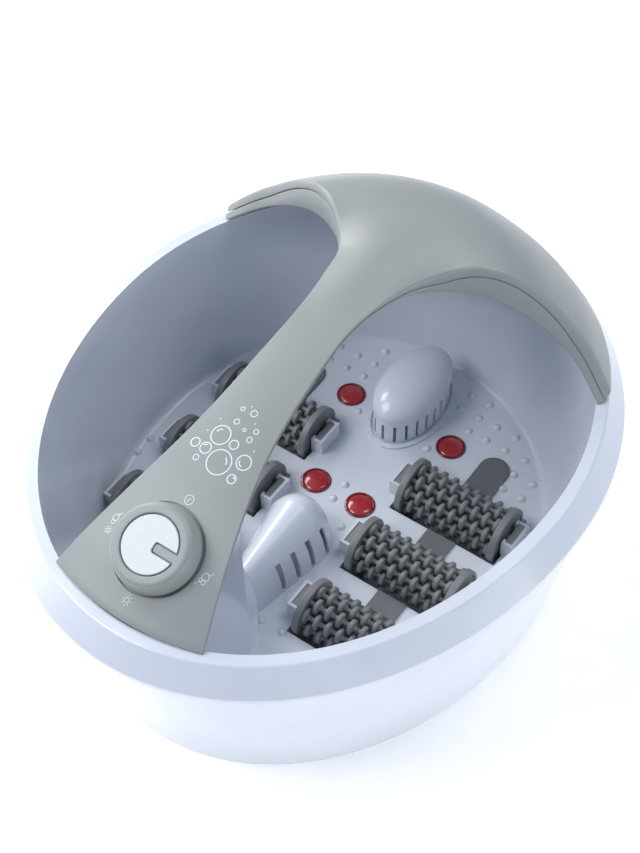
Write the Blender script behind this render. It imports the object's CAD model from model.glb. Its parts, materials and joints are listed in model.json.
"""Looks of a foot spa basin: white tub and housing, grey control bridge with a splash guard, bead
rollers, infrared lenses, herb box and drive parts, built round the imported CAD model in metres."""

import json
import math

import bmesh
import bpy
from bpy.props import FloatProperty, FloatVectorProperty, IntProperty, PointerProperty
from mathutils import Matrix, Vector
from mathutils.bvhtree import BVHTree


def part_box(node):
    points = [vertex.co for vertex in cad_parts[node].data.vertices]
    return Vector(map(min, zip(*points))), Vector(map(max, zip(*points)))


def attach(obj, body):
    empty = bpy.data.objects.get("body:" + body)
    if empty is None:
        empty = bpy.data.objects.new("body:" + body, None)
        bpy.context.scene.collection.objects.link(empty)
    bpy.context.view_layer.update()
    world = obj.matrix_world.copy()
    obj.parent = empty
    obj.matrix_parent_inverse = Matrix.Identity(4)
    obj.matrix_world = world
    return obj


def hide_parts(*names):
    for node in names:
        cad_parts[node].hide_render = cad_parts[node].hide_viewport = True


bl_info = {
    "name": "Foot Spa Basin",
    "version": (1, 0, 0),
    "blender": (4, 5, 0),
    "location": "View3D > Sidebar > Foot Spa",
    "description": "Builds the visible pieces and finishes of a foot spa basin round its CAD frame",
    "category": "Object",
}

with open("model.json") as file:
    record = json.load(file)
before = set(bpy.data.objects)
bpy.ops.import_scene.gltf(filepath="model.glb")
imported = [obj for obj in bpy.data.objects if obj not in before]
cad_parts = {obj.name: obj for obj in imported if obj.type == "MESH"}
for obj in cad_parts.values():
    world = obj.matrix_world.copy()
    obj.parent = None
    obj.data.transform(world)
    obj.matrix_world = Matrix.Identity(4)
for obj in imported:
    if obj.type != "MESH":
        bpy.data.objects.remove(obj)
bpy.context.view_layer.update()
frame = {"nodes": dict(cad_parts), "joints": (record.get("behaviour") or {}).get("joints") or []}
NODES = frame["nodes"]
MM = 0.001
FLOOR_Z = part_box("grip_strip_left")[0].z
BASIN = "basin_assembly"

# Stations of the bridge and guard from the front of the rim to the tip of a guard arm, in mm:
# lower edge (x, y, z), rise of the crease, how far the crease stands back, top skin on the centre
# line (y, z), underside on the centre line (y, z), degrees of arc across
STATIONS = [
    ((51.8, -176.5, 146.9), 1.6, 0.4, (-185.9, 148.7), (-184.6, 146.7), 14),
    ((44.6, -154.0, 160.9), 1.5, 0.4, (-158.0, 163.6), (-154.0, 147.6), 14),
    ((36.8, -129.0, 172.8), 1.8, 0.4, (-131.0, 175.6), (-129.0, 155.0), 14),
    ((24.0, -77.0, 191.5), 2.2, 0.4, (-78.0, 194.8), (-77.0, 176.0), 14),
    ((19.2, -29.3, 202.7), 2.6, 0.4, (-30.0, 206.0), (-29.3, 190.0), 14),
    ((18.1, 13.0, 208.6), 3.2, 0.4, (13.0, 212.6), (13.0, 197.0), 16),
    ((22.2, 41.0, 207.1), 4.4, 0.6, (44.0, 215.6), (43.0, 199.0), 20),
    ((28.6, 63.4, 201.8), 8.0, 0.9, (70.0, 217.3), (66.0, 199.0), 26),
    ((40.4, 78.4, 197.6), 15.0, 1.2, (92.0, 218.0), (86.0, 197.0), 34),
    ((52.0, 87.0, 194.8), 21.0, 1.4, (112.0, 217.0), (104.0, 194.5), 40),
    ((66.0, 94.5, 190.3), 23.6, 1.8, (134.0, 211.0), (124.0, 189.0), 47),
    ((89.0, 102.0, 179.3), 20.7, 4.0, (158.0, 195.0), (146.0, 177.0), 54),
    ((113.0, 103.0, 165.0), 13.4, 7.0, (182.0, 168.0), (168.0, 163.0), 60),
    ((140.0, 92.6, 147.5), 5.4, 9.4, (197.8, 142.6), (186.6, 147.5), 64),
]


# ------------------------------------------------------------------ what a user may change
def colour(name, description, rgb):
    return FloatVectorProperty(
        name=name, description=description, default=rgb, subtype="COLOR", size=3, min=0.0, max=1.0
    )


def length(name, description, metres):
    return FloatProperty(
        name=name,
        description=description,
        default=metres,
        min=0.0,
        precision=5,
        unit="LENGTH",
        subtype="DISTANCE",
    )


class SpaColours(bpy.types.PropertyGroup):
    """Colours of the finishes"""

    white: colour("White plastic", "Tub, housing, hood, column and herb box", (0.69, 0.72, 0.79))
    grey: colour("Grey plastic", "Bridge, splash guard and knob", (0.295, 0.312, 0.305))
    insert: colour("Knob insert", "White insert on the knob", (0.52, 0.545, 0.555))
    roller: colour("Roller grey", "Massage rollers", (0.215, 0.22, 0.225))
    lug: colour("Lug grey", "Square ends of the roller axles", (0.25, 0.255, 0.26))
    strip: colour("Strip grey", "Grip strips on the floor of the tub", (0.145, 0.15, 0.165))
    lens: colour("Lens red", "Infrared lenses", (0.42, 0.022, 0.030))
    lens_rim: colour("Lens rim", "Dark rim of each lens", (0.20, 0.006, 0.012))
    ink: colour("Ink", "Printed bubbles and signs", (0.80, 0.83, 0.84))
    rubber: colour("Rubber", "Feet and seals", (0.03, 0.03, 0.032))
    steel: colour("Steel", "Screws, shaft and weights", (0.56, 0.57, 0.58))
    aluminium: colour("Aluminium", "Heater plate", (0.70, 0.71, 0.72))
    board: colour("Board", "Circuit boards", (0.02, 0.12, 0.05))
    black: colour("Black plastic", "Pump, motor, switch and wires", (0.022, 0.022, 0.025))
    silicone: colour("Silicone", "Air hose and lens seals", (0.62, 0.63, 0.62))


class SpaSizes(bpy.types.PropertyGroup):
    """Sizes of the details"""

    crease: length("Crease", "Rounding of the crease along the narrow part of the bridge", 1.3 * MM)
    parting: length("Parting drop", "Parting line below the crease on the inner skirt", 6.5 * MM)
    parting_gap: length("Parting gap", "Width of the parting groove", 0.5 * MM)
    bead_radius: length("Bead radius", "Radius of a massage bead", 5.2 * MM)
    bead_thick: length("Bead thickness", "Thickness of a massage bead", 2.9 * MM)
    bead_pitch: length("Bead pitch", "Distance between beads on a rod", 8.4 * MM)
    rod_radius: length("Rod radius", "Radius of the rod that carries the beads", 1.6 * MM)
    core_radius: length("Core radius", "Radius of the drum inside the rods", 10.4 * MM)
    nub_radius: length("Nub radius", "Radius of a nub on the floor of the tub", 2.5 * MM)
    nub_height: length("Nub height", "Height of a nub", 2.1 * MM)
    insert_gap: length("Insert gap", "Gap round the knob insert", 0.6 * MM)
    line: length("Bubble line", "Width of the line round a printed bubble", 0.62 * MM)
    fine_line: length("Sign line", "Width of the lines of the signs round the knob", 0.36 * MM)
    bead_rows: IntProperty(
        name="Bead rows", description="Rows of beads round a roller", default=10, min=3, max=24
    )


def colours():
    return bpy.context.scene.spa_colours


def sizes():
    return bpy.context.scene.spa_sizes


# ------------------------------------------------------------------ shader maths
class Value:
    """A socket of a shader that can be used in sums."""

    def __init__(self, shader, socket):
        self.shader, self.socket = shader, socket

    def _maths(self, operation, first, second):
        return self.shader.node("ShaderNodeMath", {"operation": operation}, {0: first, 1: second})

    def __add__(self, other):
        return self._maths("ADD", self, other)

    def __radd__(self, other):
        return self._maths("ADD", other, self)

    def __sub__(self, other):
        return self._maths("SUBTRACT", self, other)

    def __rsub__(self, other):
        return self._maths("SUBTRACT", other, self)

    def __mul__(self, other):
        return self._maths("MULTIPLY", self, other)

    def __rmul__(self, other):
        return self._maths("MULTIPLY", other, self)

    def __truediv__(self, other):
        return self._maths("DIVIDE", self, other)

    def __pow__(self, other):
        return self._maths("POWER", self, other)


class Shader:
    """A material under construction: one Principled shader and the nodes that feed it."""

    def __init__(self, name, **constants):
        self.material = bpy.data.materials.new(name)
        self.material.use_nodes = True
        self.tree = self.material.node_tree
        self.tree.nodes.clear()
        self.principled = self.tree.nodes.new("ShaderNodeBsdfPrincipled")
        output = self.tree.nodes.new("ShaderNodeOutputMaterial")
        self.tree.links.new(self.principled.outputs[0], output.inputs["Surface"])
        for key, value in constants.items():
            self.feed(self.principled.inputs[key.replace("_", " ")], value)
        self.place = self.node("ShaderNodeTexCoord", {}, {}, "Object")

    def feed(self, socket, value):
        if isinstance(value, Value):
            self.tree.links.new(value.socket, socket)
        elif hasattr(value, "__len__") and len(value) == 3 and socket.type == "RGBA":
            socket.default_value = (*value, 1.0)
        else:
            socket.default_value = value

    def node(self, kind, settings, inputs, output=0):
        made = self.tree.nodes.new(kind)
        for key, value in settings.items():
            setattr(made, key, value)
        for key, value in inputs.items():
            self.feed(made.inputs[key], value)
        return Value(self, made.outputs[output])

    def noise(self, scale, detail=3.0, rough=0.55, distortion=0.0):
        """Noise of about that many features in a metre, from 0 to 1."""
        return self.node(
            "ShaderNodeTexNoise",
            {},
            {
                "Vector": self.place,
                "Scale": scale,
                "Detail": detail,
                "Roughness": rough,
                "Distortion": distortion,
            },
        )

    def cells(self, scale):
        """Distance to the middle of the nearest of about that many cells in a metre."""
        return self.node("ShaderNodeTexVoronoi", {}, {"Vector": self.place, "Scale": scale}, "Distance")

    def ramp(self, value, low, high):
        """0 below low, 1 above high, smooth between."""
        return self.node(
            "ShaderNodeMapRange",
            {"interpolation_type": "SMOOTHSTEP"},
            {"Value": value, "From Min": low, "From Max": high},
        )

    def mix(self, factor, a, b):
        return self.node("ShaderNodeMix", {"data_type": "RGBA"}, {0: factor, 6: a, 7: b}, 2)

    def bump(self, height, strength, distance):
        normal = self.node(
            "ShaderNodeBump", {}, {"Height": height, "Strength": strength, "Distance": distance}
        )
        self.feed(self.principled.inputs["Normal"], normal)

    def set(self, name, value):
        self.feed(self.principled.inputs[name], value)


def tinted(rgb, share):
    """The colour scaled by share, kept inside 0 to 1."""
    return tuple(min(1.0, max(0.0, c * share)) for c in rgb)


MADE = {}


def moulded(name, rgb, roughness, grain, depth, coat=0.0, sheen=0.0):
    """Moulded plastic: soft flow marks in its colour, satin grain, patchy gloss and fine dust."""
    if name in MADE:
        return MADE[name]
    shader = Shader(name, Coat_Weight=coat, Coat_Roughness=0.08, IOR=1.49, Sheen_Weight=sheen)
    flow = shader.noise(9.0, 4.0, 0.5, 0.6)
    fine = shader.noise(grain, 2.0, 0.5)
    specks = shader.ramp(shader.noise(900.0, 1.0, 0.4), 0.70, 0.80)
    cloud = shader.noise(38.0, 3.0, 0.55)
    base = shader.mix(shader.ramp(flow, 0.35, 0.65), tinted(rgb, 0.965), tinted(rgb, 1.03))
    base = shader.mix(specks * 0.10, base, tinted(rgb, 0.70))
    shader.set("Base Color", base)
    shader.set("Roughness", roughness + (cloud - 0.5) * 0.16 + specks * 0.08)
    shader.bump(fine + flow * 0.6, 0.35, depth)
    MADE[name] = shader.material
    return shader.material


def rubbery(name, rgb):
    """Rubber or silicone: dull, with a fine even stipple and dusty patches."""
    if name in MADE:
        return MADE[name]
    shader = Shader(name, Sheen_Weight=0.15, Sheen_Roughness=0.5, IOR=1.45)
    dust = shader.ramp(shader.noise(55.0, 5.0, 0.6), 0.45, 0.75)
    stipple = shader.cells(1400.0)
    shader.set("Base Color", shader.mix(dust * 0.25, rgb, tuple(0.7 * c + 0.12 for c in rgb)))
    shader.set("Roughness", 0.62 + dust * 0.16)
    shader.bump(stipple, 0.4, 0.00012)
    MADE[name] = shader.material
    return shader.material


def metal(name, rgb, roughness, stretch):
    """Turned or rolled metal: streaks across stretch, with duller patches."""
    if name in MADE:
        return MADE[name]
    shader = Shader(name, Metallic=1.0)
    wide = shader.node("ShaderNodeMapping", {}, {"Vector": shader.place, "Scale": stretch})
    streaks = shader.node("ShaderNodeTexNoise", {}, {"Vector": wide, "Scale": 300.0, "Detail": 4.0})
    patches = shader.noise(60.0, 3.0)
    shader.set("Base Color", shader.mix(shader.ramp(patches, 0.3, 0.7), tinted(rgb, 0.86), tinted(rgb, 1.05)))
    shader.set("Roughness", roughness + streaks * 0.18)
    shader.bump(streaks, 0.3, 0.00006)
    MADE[name] = shader.material
    return shader.material


def board_finish(name, rgb):
    """Circuit board: lacquer over a maze of tracks, with tinned pads."""
    if name in MADE:
        return MADE[name]
    shader = Shader(name, Coat_Weight=0.5, Coat_Roughness=0.15)
    tracks = shader.node(
        "ShaderNodeTexVoronoi",
        {"distance": "MANHATTAN"},
        {"Vector": shader.place, "Scale": 260.0, "Randomness": 0.55},
    )
    pads = 1.0 - shader.ramp(tracks, 0.10, 0.14)
    lines = shader.ramp(tracks, 0.42, 0.46)
    base = shader.mix(lines, rgb, tinted(rgb, 1.9))
    shader.set("Base Color", shader.mix(pads, base, (0.62, 0.62, 0.60)))
    shader.set("Metallic", pads * 0.8)
    shader.set("Roughness", 0.42 - pads * 0.12)
    shader.bump(lines + pads * 2.0, 0.5, 0.00008)
    MADE[name] = shader.material
    return shader.material


def lens_finish(name, rgb, deep):
    """Red lens: clear gloss over a body that is darker where the fine prisms under it turn the light."""
    if name in MADE:
        return MADE[name]
    shader = Shader(name, Coat_Weight=1.0, Coat_Roughness=0.03, IOR=1.5, Roughness=0.22)
    cloud = shader.noise(120.0, 3.0, 0.5)
    ridge = shader.cells(420.0)
    shader.set("Base Color", shader.mix(shader.ramp(ridge * 0.4 + cloud, 0.20, 0.75), deep, rgb))
    shader.bump(ridge, 0.06, 0.00010)
    MADE[name] = shader.material
    return shader.material


def ink_finish(name, rgb):
    """Pad-printed ink: nearly flat, slightly broken where it lies on the grain."""
    if name in MADE:
        return MADE[name]
    shader = Shader(name)
    broken = shader.ramp(shader.noise(2600.0, 2.0), 0.60, 0.78)
    shader.set("Base Color", shader.mix(broken * 0.5, rgb, tinted(rgb, 0.75)))
    shader.set("Roughness", 0.5 + broken * 0.2)
    shader.bump(broken, 0.2, 0.00003)
    MADE[name] = shader.material
    return shader.material


def white_plastic():
    return moulded("white_plastic", colours().white, 0.22, 420.0, 0.00005, coat=0.25)


def grey_plastic():
    return moulded("light_grey_plastic", colours().grey, 0.40, 1500.0, 0.00006)


def roller_plastic():
    return moulded("roller_plastic", colours().roller, 0.40, 700.0, 0.00008)


def lug_plastic():
    return moulded("lug_grey", colours().lug, 0.45, 800.0, 0.0001)


def black_plastic():
    return moulded("black_plastic", colours().black, 0.45, 900.0, 0.0001)


# ------------------------------------------------------------------ mesh building
class Builder:
    """Vertices and faces of one piece."""

    def __init__(self):
        self.points, self.faces = [], []

    def add(self, points):
        start = len(self.points)
        self.points += [Vector(p) for p in points]
        return list(range(start, start + len(points)))

    def skin(self, rings, closed_run=False):
        """Quads between rings of vertex numbers, which all have the same count."""
        pairs = list(zip(rings, rings[1:])) + ([(rings[-1], rings[0])] if closed_run else [])
        for near, far in pairs:
            count = len(near)
            for i in range(count):
                j = (i + 1) % count
                self.faces.append((near[i], near[j], far[j], far[i]))

    def lathe(self, profile, place, segments):
        """Turns (radius, height) points about place's Z. A radius of 0 closes that end."""
        rings = []
        turns = [2 * math.pi * k / segments for k in range(segments)]
        for radius, height in profile:
            angles = turns if radius else turns[:1]
            ring = [Vector((radius * math.cos(a), radius * math.sin(a), height)) for a in angles]
            rings.append(self.add([place @ point for point in ring]))
        for near, far in zip(rings, rings[1:]):
            if len(near) == 1 and len(far) == 1:
                continue
            if len(near) == 1:
                self.faces += [(near[0], far[k], far[(k + 1) % segments]) for k in range(segments)]
            elif len(far) == 1:
                self.faces += [(near[(k + 1) % segments], near[k], far[0]) for k in range(segments)]
            else:
                self.skin([near, far])

    def slab(self, outline, place, low, high, bevel):
        """Flat piece with that outline (counter-clockwise), its edges bevelled."""
        inner = shrink(outline, bevel)
        levels = [(inner, low), (outline, low + bevel), (outline, high - bevel), (inner, high)]
        rings = [self.add([place @ Vector((x, y, z)) for x, y in line]) for line, z in levels]
        self.skin(rings)
        self.faces.append(tuple(reversed(rings[0])))
        self.faces.append(tuple(rings[-1]))

    def ribbon(self, line, width, thick, closed):
        """Flat printed line along points with their normals."""
        rings = []
        count = len(line)
        for i, (point, normal) in enumerate(line):
            ahead = line[(i + 1) % count][0] if closed or i + 1 < count else point
            behind = line[i - 1][0] if closed or i > 0 else point
            run = (ahead - behind).normalized()
            side = run.cross(normal).normalized() * (0.5 * width)
            up = normal * thick
            left, right = point - side, point + side
            rings.append(self.add([left - up, left + up, right + up, right - up]))
        self.skin(rings, closed_run=closed)
        if not closed:
            self.faces.append(tuple(rings[0]))
            self.faces.append(tuple(reversed(rings[-1])))


def shrink(outline, amount):
    """The outline moved inwards by amount."""
    count = len(outline)
    moved = []
    for i in range(count):
        before, here, after = Vector(outline[i - 1]), Vector(outline[i]), Vector(outline[(i + 1) % count])
        one, two = (here - before).normalized(), (after - here).normalized()
        inward = Vector((-(one.y + two.y), one.x + two.x))
        inward = inward.normalized() if inward.length > 1e-9 else Vector((-one.y, one.x))
        spread = max(0.35, inward.dot(Vector((-one.y, one.x))))
        moved.append(tuple(here + inward * (amount / spread)))
    return moved


def rounded(corners, steps=4, closed=True):
    """Corners (x, y, radius) with each corner drawn as a short curve."""
    count = len(corners)
    line = []
    for i, (x, y, radius) in enumerate(corners):
        here = Vector((x, y))
        if radius <= 0 or (not closed and i in (0, count - 1)):
            line.append((x, y))
            continue
        before, after = Vector(corners[i - 1][:2]), Vector(corners[(i + 1) % count][:2])
        to_before, to_after = before - here, after - here
        reach = min(radius, 0.49 * to_before.length, 0.49 * to_after.length)
        a, b = here + to_before.normalized() * reach, here + to_after.normalized() * reach
        for k in range(steps + 1):
            t = k / steps
            line.append(tuple(a * (1 - t) ** 2 + here * (2 * t * (1 - t)) + b * t**2))
    return line


def bend(a, corner, b, steps):
    """Points of a curve from a to b that the corner pulls."""
    made = []
    for k in range(steps + 1):
        t = k / steps
        made.append(a * (1 - t) ** 2 + corner * (2 * t * (1 - t)) + b * t**2)
    return made


def make_mesh(name, builder, sharp):
    mesh = bpy.data.meshes.new(name)
    mesh.from_pydata([tuple(p) for p in builder.points], [], builder.faces)
    work = bmesh.new()
    work.from_mesh(mesh)
    bmesh.ops.remove_doubles(work, verts=work.verts, dist=1e-7)
    bmesh.ops.recalc_face_normals(work, faces=work.faces)
    work.to_mesh(mesh)
    work.free()
    smooth(mesh, sharp)
    return mesh


def smooth(mesh, sharp):
    mesh.shade_smooth()
    mesh.set_sharp_from_angle(angle=math.radians(sharp))


def piece(name, mesh, material, body, replaced=(), at=None):
    """Puts a finished mesh in the scene and ties it to the frame."""
    made = bpy.data.objects.new(name, mesh)
    bpy.context.scene.collection.objects.link(made)
    if at is not None:
        made.matrix_world = at
    if not mesh.materials:
        mesh.materials.append(material)
    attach(made, body)
    if replaced:
        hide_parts(*replaced)
    return made


def finish_node(name, material):
    """Gives a CAD node its finish."""
    node = NODES[name]
    if not node.material_slots:
        node.data.materials.append(material)
    for one in node.material_slots:
        one.link = "OBJECT"
        one.material = material


def boolean(target, cutter_builder, sharp):
    """Takes the cutter out of the target mesh."""
    cutter_mesh = make_mesh("cutter", cutter_builder, sharp)
    cutter = bpy.data.objects.new("cutter", cutter_mesh)
    bpy.context.scene.collection.objects.link(cutter)
    change = target.modifiers.new("cut", "BOOLEAN")
    change.operation, change.solver, change.object = "DIFFERENCE", "EXACT", cutter
    graph = bpy.context.evaluated_depsgraph_get()
    cut = bpy.data.meshes.new_from_object(target.evaluated_get(graph), depsgraph=graph)
    cut.name = target.data.name + "_cut"
    target.modifiers.clear()
    target.data = cut
    smooth(cut, sharp)
    bpy.data.objects.remove(cutter)


# ------------------------------------------------------------------ bridge and guard
def stops(points):
    """Distance along a line of points to each of them."""
    run = [0.0]
    for a, b in zip(points, points[1:]):
        run.append(run[-1] + (b - a).length)
    return run


def between(values, run, t):
    """Smooth value at distance t of a row of numbers or vectors that stand at the distances in run."""
    last = len(values) - 1
    i = max(k for k in range(last) if k == 0 or run[k] <= t)

    def slope(k):
        if k == 0:
            return (values[1] - values[0]) * (1 / (run[1] - run[0]))
        if k == last:
            return (values[last] - values[last - 1]) * (1 / (run[last] - run[last - 1]))
        before, after = run[k] - run[k - 1], run[k + 1] - run[k]
        behind, ahead = (values[k] - values[k - 1]) * (1 / before), (values[k + 1] - values[k]) * (1 / after)
        return (behind * after + ahead * before) * (1 / (before + after))

    span = run[i + 1] - run[i]
    f = (t - run[i]) / span
    return (
        values[i] * (2 * f**3 - 3 * f**2 + 1)
        + slope(i) * (span * (f**3 - 2 * f**2 + f))
        + values[i + 1] * (3 * f**2 - 2 * f**3)
        + slope(i + 1) * (span * (f**3 - f**2))
    )


class Bridge:
    """Curves of the bridge and guard at any place between the stations, in metres."""

    ACROSS = 72
    RINGS = 104

    def __init__(self):
        self.edges = [Vector(s[0]) * MM for s in STATIONS]
        self.rises = [s[1] * MM for s in STATIONS]
        self.backs = [s[2] * MM for s in STATIONS]
        self.tops = [Vector(s[3]) * MM for s in STATIONS]
        self.unders = [Vector(s[4]) * MM for s in STATIONS]
        self.angles = [math.radians(s[5]) for s in STATIONS]
        self.run = stops(self.edges)
        self.end = self.run[-1]

    def at(self, values, t):
        return between(values, self.run, t)

    def normal(self, t):
        step = 2 * MM
        ahead, behind = self.at(self.edges, min(t + step, self.end)), self.at(self.edges, max(t - step, 0.0))
        flat = Vector((ahead.x - behind.x, ahead.y - behind.y)).normalized()
        return Vector((-flat.y, flat.x, 0.0))

    def corner(self, t, up, off):
        return self.at(self.edges, t) + self.normal(t) * off + Vector((0, 0, up))

    def row(self, t, corner, centre, count):
        """Arc from the left corner over the centre line to the right corner."""
        theta = self.at(self.angles, t)
        points = []
        for k in range(count):
            u = -1 + 2 * k / (count - 1)
            weight = (math.cos(u * theta) - math.cos(theta)) / (1 - math.cos(theta))
            points.append(
                Vector(
                    (
                        corner.x * math.sin(u * theta) / math.sin(theta),
                        corner.y + (centre.x - corner.y) * weight,
                        corner.z + (centre.y - corner.z) * weight,
                    )
                )
            )
        return points

    def levels(self, t):
        """(corner, centre) of the crease, parting line and lower edge."""
        rise, back = self.at(self.rises, t), self.at(self.backs, t)
        drop = min(sizes().parting, 0.5 * rise)
        top, under = self.at(self.tops, t), self.at(self.unders, t)
        return (
            (self.corner(t, rise, back), top),
            (self.corner(t, rise - drop, back * (1 - drop / rise)), (top + under) * 0.5),
            (self.corner(t, 0.0, 0.0), under),
        )

    def side(self, upper_row, upper, lower, lower_row, soft_top, soft_low):
        """Rounded side on the right between two rows, from the upper row to the lower row."""
        drop = (lower - upper).length
        top_reach, low_reach = min(soft_top, 0.35 * drop), min(soft_low, 0.35 * drop)
        along = (lower - upper).normalized()
        a = upper + (upper_row[-2] - upper).normalized() * top_reach
        b = upper + along * top_reach
        c = lower - along * low_reach
        d = lower + (lower_row[-2] - lower).normalized() * low_reach
        return bend(a, upper, b, 4) + bend(c, lower, d, 3)

    def ring(self, t, upper, lower, soft_top, soft_low):
        """Closed ring round the plastic between two levels, with the number of points in each part."""
        upper_row = self.row(t, upper[0], upper[1], self.ACROSS)
        lower_row = self.row(t, lower[0], lower[1], self.ACROSS)
        right = self.side(upper_row, upper[0], lower[0], lower_row, soft_top, soft_low)
        left = [Vector((-p.x, p.y, p.z)) for p in reversed(right)]
        return upper_row[1:-1] + right + list(reversed(lower_row[1:-1])) + left

    def softness(self, t, least):
        """Rounding of the crease, which grows where the crease stands higher over the lower edge."""
        return least * (1 + 1.6 * self.at(self.rises, t) / max(self.rises))

    def shell(self, pick, soft_top, soft_low):
        """Closed body between the two levels that pick gives at each place."""
        builder = Builder()
        rings = []
        for k in range(self.RINGS + 1):
            t = self.end * k / self.RINGS
            upper, lower = pick(self.levels(t))
            rings.append(self.ring(t, upper, lower, self.softness(t, soft_top), soft_low))
        front, back = self.rounded_end(rings[1], rings[0]), self.rounded_end(rings[-2], rings[-1])
        rings = front[::-1] + rings[1:-1] + back
        numbered = [builder.add(ring) for ring in rings]
        builder.skin(numbered)
        for ring in (numbered[0], numbered[-1]):
            self.cap(builder, ring)
        return builder

    def rounded_end(self, before, end):
        """The end ring and two smaller ones past it, so that the end has a soft edge."""
        soft = 0.7 * MM
        count = self.ACROSS - 2
        side = (len(end) - 2 * count) // 2
        middle = []
        for i, point in enumerate(end):
            if i < count:
                other = end[count + side + (count - 1 - i)]
            elif i < count + side:
                other = end[count + side - 1 - (i - count)]
            elif i < 2 * count + side:
                other = end[2 * count + side - 1 - i]
            else:
                other = end[2 * count + 2 * side - 1 - (i - 2 * count - side)]
            middle.append((point + other) * 0.5)
        rings = []
        for angle in (0, 45, 90):
            out, shrunk = math.sin(math.radians(angle)) * soft, (1 - math.cos(math.radians(angle))) * soft
            ring = []
            for near, point, mid in zip(before, end, middle):
                to_mid = mid - point
                amount = min(shrunk, 0.45 * to_mid.length)
                forward = (point - near).normalized() if (point - near).length > 1e-9 else Vector()
                ring.append(point + to_mid.normalized() * amount + forward * (out - soft))
            rings.append(ring)
        return rings

    def cap(self, builder, ring):
        count = self.ACROSS - 2
        side = (len(ring) - 2 * count) // 2
        top = ring[:count]
        low = list(reversed(ring[count + side : 2 * count + side]))
        for i in range(count - 1):
            builder.faces.append((top[i], top[i + 1], low[i + 1], low[i]))
        builder.faces.append((top[-1], *ring[count : count + side], low[-1]))
        builder.faces.append((low[0], *ring[2 * count + side :], top[0]))


def knob_place():
    """The knob's own frame: Z along its axis, X to the right."""
    joint = next(j for j in frame["joints"] if j["name"] == "knob_turn")
    axis = Vector(joint["axis"]).normalized()
    origin = Vector(joint["pos_m"])
    across = Vector((1, 0, 0))
    up = axis.cross(across).normalized()
    place = Matrix((across, up, axis)).transposed().to_4x4()
    place.translation = origin
    return place


class SPA_OT_bridge(bpy.types.Operator):
    """Builds the control bridge with its splash guard, in a cover and a liner"""

    bl_idname = "spa.bridge"
    bl_label = "Bridge and guard"

    def execute(self, context):
        bridge = Bridge()
        size = sizes()
        gap = Vector((0, 0, size.parting_gap))
        sink = Vector((0.0, size.parting_gap))

        def cover_levels(levels):
            return levels[0], levels[1]

        def liner_levels(levels):
            corner, centre = levels[1]
            return (corner - gap, centre - sink), levels[2]

        cover = piece(
            "bridge_shell",
            make_mesh("bridge_shell", bridge.shell(cover_levels, size.crease, 0.5 * MM), 40),
            grey_plastic(),
            BASIN,
            ["bridge_cover"],
        )
        seat = Builder()
        knob_low, knob_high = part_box("control_knob")
        reach = 0.5 * (knob_high.x - knob_low.x) + 1.4 * MM
        seat.lathe([(0, -1.6 * MM), (reach, -1.6 * MM), (reach, 14 * MM), (0, 14 * MM)], knob_place(), 96)
        boolean(cover, seat, 40)
        piece(
            "bridge_lining",
            make_mesh("bridge_lining", bridge.shell(liner_levels, 0.5 * MM, 1.4 * MM), 40),
            grey_plastic(),
            BASIN,
            ["bridge_liner"],
        )
        finish_node("bridge_screws", metal("steel", colours().steel, 0.28, (1.0, 1.0, 8.0)))
        return {"FINISHED"}


# ------------------------------------------------------------------ knob
class SPA_OT_knob(bpy.types.Operator):
    """Builds the control knob with its pointer and white insert, and finishes the switch under it"""

    bl_idname = "spa.knob"
    bl_label = "Control knob"

    def execute(self, context):
        place = knob_place()
        base, shoulder, height = 25.8 * MM, 23.4 * MM, 13.0 * MM
        seat, seat_floor = 17.3 * MM, 10.6 * MM
        gap, half = sizes().insert_gap, 2.5 * MM
        start, radius = 3.1 * MM, seat - sizes().insert_gap
        outside = rounded(
            [
                (7.0 * MM, 0.7 * MM, 0),
                (base, 0.7 * MM, 0.6 * MM),
                (base - 0.4 * MM, 6.4 * MM, 4.0 * MM),
                (shoulder, height - 0.2 * MM, 3.6 * MM),
                (seat + 0.5 * MM, height - 0.2 * MM, 0.5 * MM),
                (seat, height - 0.7 * MM, 0.3 * MM),
                (seat, seat_floor, 0),
                (0, seat_floor, 0),
            ],
            6,
            closed=False,
        )
        body = Builder()
        body.lathe([(0, 0.7 * MM)] + outside, place, 128)
        tongue = rounded(
            [
                (start, -half, 1.4 * MM),
                (seat + 1.2 * MM, -half, 0),
                (seat + 1.2 * MM, half, 0),
                (start, half, 1.4 * MM),
            ],
            6,
        )
        body.slab(tongue, place, seat_floor - 0.2 * MM, height - 0.25 * MM, 0.4 * MM)
        knob_mesh = make_mesh("knob_body", body, 40)
        piece("knob_body", knob_mesh, grey_plastic(), "knob", ["control_knob"])

        slot_half = half + gap
        opening = math.asin(slot_half / radius)
        corners = []
        steps = 72
        for k in range(steps + 1):
            angle = opening + (2 * math.pi - 2 * opening) * k / steps
            corners.append((radius * math.cos(angle), radius * math.sin(angle), 0))
        corners += [(start - gap, -slot_half, 1.8 * MM), (start - gap, slot_half, 1.8 * MM)]
        insert = Builder()
        insert.slab(rounded(corners, 6), place, seat_floor + 0.1 * MM, height - 0.15 * MM, 0.4 * MM)
        piece(
            "knob_face",
            make_mesh("knob_face", insert, 40),
            moulded("insert_white", colours().insert, 0.25, 500.0, 0.00003, coat=0.3),
            "knob",
            ["knob_insert"],
        )
        finish_node("knob_shaft", metal("steel", colours().steel, 0.28, (1.0, 1.0, 8.0)))
        finish_node("rotary_switch", black_plastic())
        finish_node("control_board", board_finish("board_green", colours().board))
        finish_node("control_wires", rubbery("wire_black", colours().black))
        return {"FINISHED"}


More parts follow.
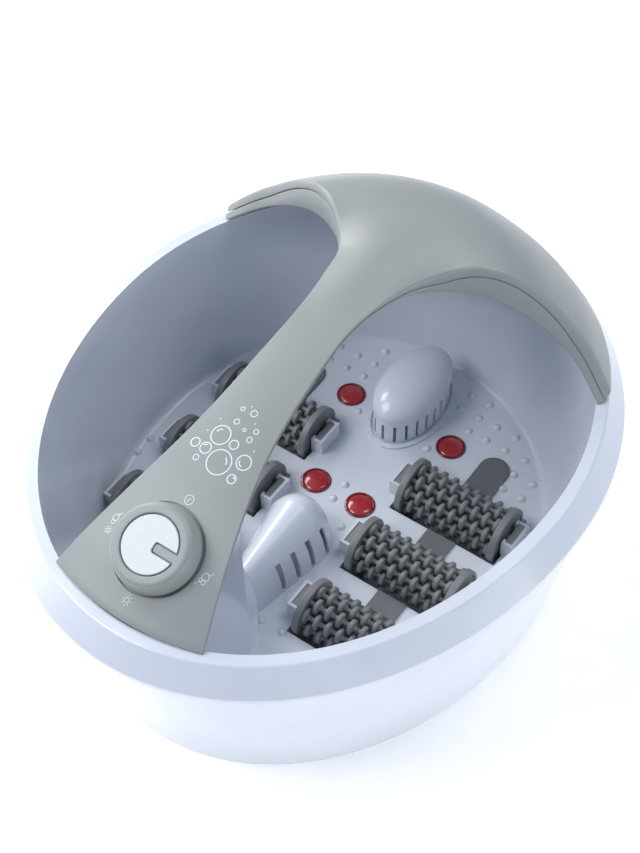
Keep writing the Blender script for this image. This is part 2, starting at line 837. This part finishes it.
# ------------------------------------------------------------------ rollers
class SPA_OT_rollers(bpy.types.Operator):
    """Builds the six massage rollers, each a drum of rods that carry rows of beads between two caps"""

    bl_idname = "spa.rollers"
    bl_label = "Massage rollers"
    BEADS = 8                  # on each rod, before those that would meet a cap are left out

    def execute(self, context):
        size = sizes()
        low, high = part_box("roller_right_mid")
        half_length, radius = 0.5 * (high.x - low.x), 0.5 * (high.z - low.z)
        across = Matrix.Rotation(math.pi / 2, 4, "Y")
        roller = Builder()
        cap = 4.6 * MM
        bore = 3.1 * MM
        for end in (-1, 1):
            turn = across if end > 0 else across @ Matrix.Rotation(math.pi, 4, "X")
            inner, outer = half_length - cap, half_length
            profile = rounded(
                [
                    (bore, inner, 0),
                    (radius, inner, 0.5 * MM),
                    (radius, outer, 0.6 * MM),
                    (radius - 2.4 * MM, outer, 0.3 * MM),
                    (radius - 3.0 * MM, outer - 0.8 * MM, 0.3 * MM),
                    (bore + 3.4 * MM, outer - 0.8 * MM, 0.5 * MM),
                    (bore + 2.6 * MM, outer, 0.5 * MM),
                    (bore, outer, 0),
                    (bore, inner, 0),
                ],
                4,
                closed=False,
            )
            roller.lathe(profile, turn, 72)
        core = size.core_radius
        reach = half_length - cap
        roller.lathe([(bore, -reach), (core, -reach), (core, reach), (bore, reach)], across, 48)
        ring = radius - 1.0 * MM - size.bead_radius
        thick = size.bead_thick
        rod = size.rod_radius
        half_bead = rounded(
            [
                (rod * 0.9, -1.35 * thick, 0),
                (rod * 1.1, -0.75 * thick, 0.3 * thick),
                (size.bead_radius - 0.7 * thick, -0.5 * thick, 0.2 * thick),
                (size.bead_radius - 0.05 * thick, -0.5 * thick, 0.4 * thick),
                (size.bead_radius, 0, 0),
            ],
            3,
            closed=False,
        )
        bead = half_bead + [(r, -z) for r, z in reversed(half_bead[:-1])]
        for row in range(size.bead_rows):
            angle = 2 * math.pi * row / size.bead_rows
            offset = Matrix.Translation((0, ring * math.cos(angle), ring * math.sin(angle)))
            rod_end = reach + 0.4 * MM
            roller.lathe(
                [(0, -rod_end), (size.rod_radius, -rod_end), (size.rod_radius, rod_end), (0, rod_end)],
                offset @ across,
                12,
            )
            shift = 0.25 * size.bead_pitch * (1 if row % 2 else -1)
            for k in range(self.BEADS):
                along = (k - 0.5 * (self.BEADS - 1)) * size.bead_pitch + shift
                if abs(along) + 0.5 * thick > reach:
                    continue
                roller.lathe(bead, offset @ Matrix.Translation((along, 0, 0)) @ across, 20)
        mesh = make_mesh("bead_roller", roller, 45)
        for side in ("left", "right"):
            for station in ("rear", "mid", "front"):
                node = f"roller_{side}_{station}"
                low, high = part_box(node)
                place = Matrix.Translation((low + high) * 0.5)
                piece(f"bead_{node}", mesh, roller_plastic(), node, [node], place)
                finish_node(f"roller_axle_{side}_{station}", lug_plastic())
        return {"FINISHED"}


# ------------------------------------------------------------------ tub
# Nubs on the floor in mm: for each row across the tub, at that y, the distances from the middle line
NUB_ROWS = {
    144.0: (29.0, 43.5),
    129.6: (29.0, 43.5, 58.0, 73.0),
    115.8: (43.5, 58.0, 73.0, 88.4),
    101.3: (88.4, 103.0),
    87.0: (28.5, 88.4, 103.0),
    0.3: (17.4,),
    -14.0: (132.0,),
    -28.0: (132.0,),
    -43.0: (132.0,),
    -86.5: (17.0, 33.0),
}
NUB_MIDDLE = (30.0, 16.0)      # y of the nubs on the middle line


class SPA_OT_tub(bpy.types.Operator):
    """Finishes the tub and its housing, and puts the nubs on the tub's floor"""

    bl_idname = "spa.tub"
    bl_label = "Tub and housing"

    def execute(self, context):
        for name in ("basin", "base_housing", "base_plate", "control_column", "intake_hood"):
            finish_node(name, white_plastic())
        size = sizes()
        nubs = Builder()
        spots = [(side * x * MM, y * MM) for y, row in NUB_ROWS.items() for x in row for side in (-1, 1)]
        spots += [(0.0, y * MM) for y in NUB_MIDDLE]
        rounds = 5
        for x, y in spots:
            profile = [(size.nub_radius * 1.25, -0.3 * MM), (size.nub_radius * 1.25, 0.0)]
            for k in range(1, rounds):
                angle = 0.5 * math.pi * k / rounds
                profile.append((size.nub_radius * math.cos(angle), size.nub_height * math.sin(angle)))
            profile += [(0, size.nub_height)]
            nubs.lathe([(0, -0.3 * MM)] + profile, Matrix.Translation((x, y, FLOOR_Z)), 20)
        piece("floor_nubs", make_mesh("floor_nubs", nubs, 50), white_plastic(), BASIN)
        for side in ("left", "right"):
            finish_node(
                f"grip_strip_{side}", moulded("strip_grey", colours().strip, 0.50, 1600.0, 0.00012, sheen=0.1)
            )
        return {"FINISHED"}


# ------------------------------------------------------------------ lenses
class SPA_OT_lenses(bpy.types.Operator):
    """Builds the four red lenses with their dark rims, and finishes the lamps under them"""

    bl_idname = "spa.lenses"
    bl_label = "Infrared lenses"

    def execute(self, context):
        low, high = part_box("lens_rear_left")
        radius, crown, deep = 0.5 * (high.x - low.x), high.z - FLOOR_Z, FLOOR_Z - low.z
        rim = 1.5 * MM
        dome = Builder()
        inside, edge = radius - rim, 0.2 * MM
        profile = [(0, -deep), (inside, -deep), (inside, edge)]
        rounds = 8
        for k in range(1, rounds):
            angle = 0.5 * math.pi * k / rounds
            profile.append((inside * math.cos(angle), edge + (crown - edge) * math.sin(angle)))
        profile.append((0, crown))
        dome.lathe(profile, Matrix(), 64)
        dome_mesh = make_mesh("lens_dome", dome, 40)
        ring = Builder()
        section = rounded(
            [
                (radius - rim - 0.1 * MM, -deep, 0),
                (radius, -deep, 0),
                (radius, 1.0 * MM, 0.5 * MM),
                (radius - rim, 1.3 * MM, 0.5 * MM),
                (radius - rim - 0.1 * MM, 0.4 * MM, 0),
            ],
            3,
        )
        rings = []
        segments = 64
        for k in range(segments):
            angle = 2 * math.pi * k / segments
            cosine, sine = math.cos(angle), math.sin(angle)
            rings.append(ring.add([Vector((r * cosine, r * sine, z)) for r, z in section]))
        ring.skin(rings, closed_run=True)
        ring_mesh = make_mesh("lens_rim", ring, 40)
        for name in ("lens_rear_left", "lens_rear_right", "lens_front_left", "lens_front_right"):
            low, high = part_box(name)
            middle = (low + high) * 0.5
            place = Matrix.Translation((middle.x, middle.y, FLOOR_Z))
            piece(
                f"{name}_dome",
                dome_mesh,
                lens_finish("lens_red", colours().lens, colours().lens_rim),
                BASIN,
                [name],
                place,
            )
            piece(
                f"{name}_rim",
                ring_mesh,
                lens_finish("lens_rim", colours().lens_rim, tinted(colours().lens_rim, 0.6)),
                BASIN,
                at=place,
            )
        finish_node("lens_seals", rubbery("silicone", colours().silicone))
        lamp = Shader("lamp_clear", Roughness=0.08, Transmission_Weight=0.6, IOR=1.5)
        glow = lamp.noise(400.0, 2.0)
        lamp.set("Base Color", lamp.mix(lamp.ramp(glow, 0.3, 0.7), (0.75, 0.72, 0.72), (0.92, 0.90, 0.90)))
        finish_node("infrared_lamps", lamp.material)
        finish_node("lamp_boards", board_finish("board_green", colours().board))
        return {"FINISHED"}


# ------------------------------------------------------------------ herb box
class SPA_OT_herb_box(bpy.types.Operator):
    """Builds the domed lid of the herb box and finishes its slotted basket"""

    bl_idname = "spa.herb_box"
    bl_label = "Herb box"

    def execute(self, context):
        finish_node("herb_box_basket", white_plastic())
        low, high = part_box("herb_box_lid")
        half_x, half_y = 0.5 * (high.x - low.x), 0.5 * (high.y - low.y)
        height, wall = high.z - low.z, 1.8 * MM
        middle = (low + high) * 0.5

        def dome(shrunk, top):
            line = []
            rounds = 16
            for k in range(rounds):
                angle = 0.5 * math.pi * k / rounds
                line.append((math.cos(angle) ** 0.9, shrunk, top * math.sin(angle)))
            return line + [(0, shrunk, top)]

        lid = Builder()
        rings = []
        segments = 96
        turns = [2 * math.pi * k / segments for k in range(segments)]
        outside = dome(0.0, height)
        inside = list(reversed(dome(wall, height - wall)))
        for share, shrunk, z in outside + inside:
            if share == 0:
                rings.append(lid.add([Vector((0, 0, z))]) * segments)
                continue
            a, b = (half_x - shrunk) * share, (half_y - shrunk) * share
            rings.append(lid.add([Vector((a * math.cos(turn), b * math.sin(turn), z)) for turn in turns]))
        for near, far in list(zip(rings, rings[1:])) + [(rings[-1], rings[0])]:
            for k in range(segments):
                j = (k + 1) % segments
                corners = []
                for number in (near[k], near[j], far[j], far[k]):
                    if number not in corners:
                        corners.append(number)
                if len(corners) > 2:
                    lid.faces.append(tuple(corners))
        place = Matrix.Translation((middle.x, middle.y, low.z))
        piece(
            "herb_lid_dome",
            make_mesh("herb_lid_dome", lid, 40),
            white_plastic(),
            "herb_lid",
            ["herb_box_lid"],
            place,
        )
        return {"FINISHED"}


# ------------------------------------------------------------------ prints
# Bubbles printed on the bridge, in mm: centre x, y, radius, and from where to where a highlight runs, in
# degrees, or None
BUBBLES = [
    (2.2, -94.2, 7.1, (5, 65)),
    (-6.3, -81.0, 5.6, (103, 168)),
    (14.5, -87.8, 4.2, (178, 278)),
    (-9.5, -91.0, 3.2, (88, 158)),
    (14.0, -98.5, 2.5, (18, 88)),
    (3.7, -82.2, 2.6, None),
    (-16.8, -90.7, 2.6, None),
    (2.6, -61.8, 1.9, None),
    (-11.1, -97.8, 1.6, None),
    (-3.1, -70.3, 1.6, None),
    (9.5, -75.7, 1.6, None),
    (10.0, -70.0, 1.4, None),
    (-4.8, -62.4, 1.2, None),
    (3.6, -72.4, 0.9, None),
]
DOTS = [(6.6, -66.6), (15.6, -79.8), (-12.4, -73.1), (-14.7, -82.1), (-1.1, -58.9)]
SIGN_REACH = 32.0              # from the knob's axis to a sign, in mm


class Skin:
    """Finds the top of the bridge under a point in plan."""

    def __init__(self, name):
        mesh = bpy.data.objects[name].data
        corners = [vertex.co for vertex in mesh.vertices]
        self.tree = BVHTree.FromPolygons(corners, [tuple(face.vertices) for face in mesh.polygons])

    def on(self, x, y):
        found, normal, _, _ = self.tree.ray_cast(Vector((x, y, 1.0)), Vector((0, 0, -1)))
        if found is None:
            raise RuntimeError("a printed line leaves the bridge")
        return found, normal


class Printer:
    """Draws lines, rings and dots in mm on the bridge as thin raised ink."""

    THICK = 0.1 * MM

    def __init__(self, skin):
        self.skin, self.builder = skin, Builder()

    def path(self, points, width, closed=False):
        self.builder.ribbon([self.skin.on(x * MM, y * MM) for x, y in points], width, self.THICK, closed)

    def ring(self, x, y, radius, width):
        count = max(14, int(radius * 9))
        turns = [2 * math.pi * k / count for k in range(count)]
        self.path([(x + radius * math.cos(a), y + radius * math.sin(a)) for a in turns], width, True)

    def arc(self, x, y, radius, start, end, width):
        turns = [math.radians(start + (end - start) * k / 10) for k in range(11)]
        self.path([(x + radius * math.cos(a), y + radius * math.sin(a)) for a in turns], width)

    def rays(self, x, y, near, far, count, width):
        for k in range(count):
            a = 2 * math.pi * k / count
            self.path(
                [(x + r * math.cos(a), y + r * math.sin(a)) for r in (near, 0.5 * (near + far), far)], width
            )

    def wave(self, x, y, heading, width):
        """Three short bends in a row, the sign for shaking."""
        a = math.radians(heading)
        along, side = Vector((math.cos(a), math.sin(a))), Vector((-math.sin(a), math.cos(a)))
        points = []
        for k in range(5):
            swing = 0.45 if k % 2 else -0.45
            points.append(tuple(Vector((x, y)) + along * (0.8 * (k - 2)) + side * swing))
        self.path(points, width)


class SPA_OT_prints(bpy.types.Operator):
    """Prints the bubbles and the plain signs round the knob"""

    bl_idname = "spa.prints"
    bl_label = "Printed signs"

    def execute(self, context):
        skin = Skin("bridge_shell")
        ink = ink_finish("ink", colours().ink)
        line, fine = sizes().line, sizes().fine_line
        bubbles = Printer(skin)
        for x, y, radius, highlight in BUBBLES:
            width = line if radius > 2 else 0.8 * line
            bubbles.ring(x, y, radius, width)
            if highlight:
                bubbles.arc(x, y, 0.6 * radius, *highlight, width)
        for x, y in DOTS:
            bubbles.ring(x, y, 0.22, 0.4 * MM)
        piece("bubble_print", make_mesh("bubble_print", bubbles.builder, 60), ink, BASIN)

        place = knob_place()
        signs = Printer(skin)

        def spot(x, y):
            """Plan position in mm of the sign that lies that way from the knob's axis."""
            point = place @ Vector((x, y, 0.0))
            return point.x / MM, point.y / MM

        reach = SIGN_REACH * MM
        off_x, off_y = spot(0.0, reach)
        air_x, air_y = spot(reach, 0.0)
        heat_x, heat_y = spot(0.0, -reach)
        all_x, all_y = spot(-reach, 0.0)
        signs.ring(off_x, off_y, 2.6, fine)
        signs.path([(off_x - 0.5, off_y - 1.4), (off_x, off_y), (off_x + 0.5, off_y + 1.4)], fine)
        signs.ring(heat_x, heat_y, 1.3, fine)
        signs.rays(heat_x, heat_y, 2.0, 3.0, 8, fine)
        signs.ring(air_x, air_y + 0.6, 2.1, fine)
        signs.ring(air_x + 0.4, air_y - 2.2, 1.2, fine)
        signs.ring(air_x - 1.6, air_y - 1.6, 0.9, fine)
        signs.wave(air_x + 2.2, air_y + 3.0, 45, fine)
        signs.wave(air_x - 2.6, air_y - 3.6, 45, fine)
        signs.ring(all_x, all_y + 3.0, 1.8, fine)
        signs.ring(all_x - 0.3, all_y + 0.4, 1.1, fine)
        signs.wave(all_x + 1.4, all_y + 5.4, 45, fine)
        signs.ring(all_x, all_y - 4.4, 1.0, fine)
        signs.rays(all_x, all_y - 4.4, 1.6, 2.4, 8, fine)
        piece("sign_print", make_mesh("sign_print", signs.builder, 60), ink, BASIN)
        return {"FINISHED"}


# ------------------------------------------------------------------ drive parts
class SPA_OT_drive(bpy.types.Operator):
    """Finishes the feet, screws, gland and the drive parts under the floor"""

    bl_idname = "spa.drive"
    bl_label = "Drive parts and feet"

    def execute(self, context):
        shade = colours()
        finishes = {
            "rubber_feet": rubbery("rubber", shade.rubber),
            "cord_gland": rubbery("rubber", shade.rubber),
            "base_screws": metal("steel", shade.steel, 0.28, (1.0, 1.0, 8.0)),
            "eccentric_weights": metal("steel", shade.steel, 0.28, (1.0, 1.0, 8.0)),
            "vibration_motor": metal("motor_can", tinted(shade.steel, 0.9), 0.34, (8.0, 1.0, 1.0)),
            "motor_bracket": black_plastic(),
            "air_pump": black_plastic(),
            "air_hose": rubbery("silicone", shade.silicone),
            "heater_plate": metal("aluminium", shade.aluminium, 0.36, (1.0, 8.0, 1.0)),
            "thermostat": black_plastic(),
            "power_board": board_finish("board_green", shade.board),
        }
        for name, material in finishes.items():
            finish_node(name, material)
        return {"FINISHED"}


# ------------------------------------------------------------------ stage
class SPA_OT_stage(bpy.types.Operator):
    """Sets the pale floor, the soft lights and the camera"""

    bl_idname = "spa.stage"
    bl_label = "Floor, lights and camera"

    def area(self, name, place, aim, size, power, shade):
        light = bpy.data.lights.new(name, "AREA")
        light.shape, light.size, light.size_y = "RECTANGLE", size[0], size[1]
        light.energy, light.color = power, shade
        made = bpy.data.objects.new(name, light)
        bpy.context.scene.collection.objects.link(made)
        made.location = place
        made.rotation_euler = (Vector(aim) - Vector(place)).to_track_quat("-Z", "Y").to_euler()

    def execute(self, context):
        scene = context.scene
        builder = Builder()
        reach = 4.0
        corners = builder.add([(x * reach, y * reach, 0) for x, y in ((-1, -1), (1, -1), (1, 1), (-1, 1))])
        builder.faces.append(tuple(corners))
        mesh = make_mesh("studio_floor", builder, 30)
        floor = bpy.data.objects.new("studio_floor", mesh)
        scene.collection.objects.link(floor)
        paper = Shader("floor_paper", Roughness=0.9, Emission_Strength=0.42)
        fibres = paper.ramp(paper.noise(60.0, 4.0), 0.3, 0.7)
        paper.set("Base Color", paper.mix(fibres, (0.90, 0.90, 0.91), (0.93, 0.93, 0.94)))
        paper.set("Emission Color", paper.mix(fibres, (0.98, 0.98, 1.0), (1.0, 1.0, 1.0)))
        mesh.materials.append(paper.material)

        world = bpy.data.worlds.new("studio")
        scene.world = world
        world.use_nodes = True
        sky = world.node_tree.nodes["Background"]
        sky.inputs["Color"].default_value = (0.66, 0.79, 1.0, 1.0)
        sky.inputs["Strength"].default_value = 0.40

        aim = (0.0, 0.0, 0.08)
        self.area("key_left", (-1.15, 0.25, 0.95), aim, (0.9, 0.7), 15.0, (1.0, 0.99, 0.97))
        self.area("front_left", (-0.75, -0.75, 1.35), aim, (0.8, 0.8), 11.5, (0.97, 0.98, 1.0))
        self.area("back_top", (0.3, 0.7, 1.5), aim, (0.9, 0.7), 7.0, (0.97, 0.98, 1.0))
        self.area("side_left", (-1.5, -0.7, 0.3), aim, (0.9, 0.4), 4.0, (1.0, 1.0, 1.0))
        self.area("side_right", (1.7, -0.1, 0.12), aim, (1.2, 0.2), 8.0, (1.0, 0.99, 0.98))

        camera_data = bpy.data.cameras.new("camera")
        camera_data.sensor_width = 36.0
        camera_data.lens = 65.01
        camera = bpy.data.objects.new("camera", camera_data)
        scene.collection.objects.link(camera)
        azimuth, elevation, roll = math.radians(36.207), math.radians(51.222), math.radians(-1.168)
        level_reach = math.cos(elevation)
        back = Vector(
            (math.sin(azimuth) * level_reach, -math.cos(azimuth) * level_reach, math.sin(elevation))
        )
        right = Vector((math.cos(azimuth), math.sin(azimuth), 0.0))
        up = back.cross(right)
        level = right * math.cos(roll) + up * math.sin(roll)
        upright = up * math.cos(roll) - right * math.sin(roll)
        view = Matrix((level, upright, back)).transposed().to_4x4()
        view.translation = (0.35033, -0.47554, 0.85797)
        camera.matrix_world = view
        scene.camera = camera
        scene.view_settings.view_transform = "Standard"
        return {"FINISHED"}


# ------------------------------------------------------------------ panel
class SPA_PT_panel(bpy.types.Panel):
    """Lists the operators and what can be changed"""

    bl_idname = "SPA_PT_panel"
    bl_label = "Foot Spa Basin"
    bl_space_type = "VIEW_3D"
    bl_region_type = "UI"
    bl_category = "Foot Spa"

    def draw(self, context):
        for group in (context.scene.spa_colours, context.scene.spa_sizes):
            column = self.layout.column()
            for key in group.bl_rna.properties.keys():
                if key not in ("rna_type", "name"):
                    column.prop(group, key)
        for operator in OPERATORS:
            self.layout.operator(operator.bl_idname)


OPERATORS = (
    SPA_OT_stage,
    SPA_OT_tub,
    SPA_OT_bridge,
    SPA_OT_knob,
    SPA_OT_rollers,
    SPA_OT_lenses,
    SPA_OT_herb_box,
    SPA_OT_prints,
    SPA_OT_drive,
)
CLASSES = (SpaColours, SpaSizes, *OPERATORS, SPA_PT_panel)


def register():
    for one in CLASSES:
        bpy.utils.register_class(one)
    bpy.types.Scene.spa_colours = PointerProperty(type=SpaColours)
    bpy.types.Scene.spa_sizes = PointerProperty(type=SpaSizes)


def unregister():
    del bpy.types.Scene.spa_sizes
    del bpy.types.Scene.spa_colours
    for one in reversed(CLASSES):
        bpy.utils.unregister_class(one)


def main():
    register()
    bpy.ops.spa.stage()
    bpy.ops.spa.tub()
    bpy.ops.spa.bridge()
    bpy.ops.spa.knob()
    bpy.ops.spa.rollers()
    bpy.ops.spa.lenses()
    bpy.ops.spa.herb_box()
    bpy.ops.spa.prints()
    bpy.ops.spa.drive()


if __name__ == "__main__":
    main()
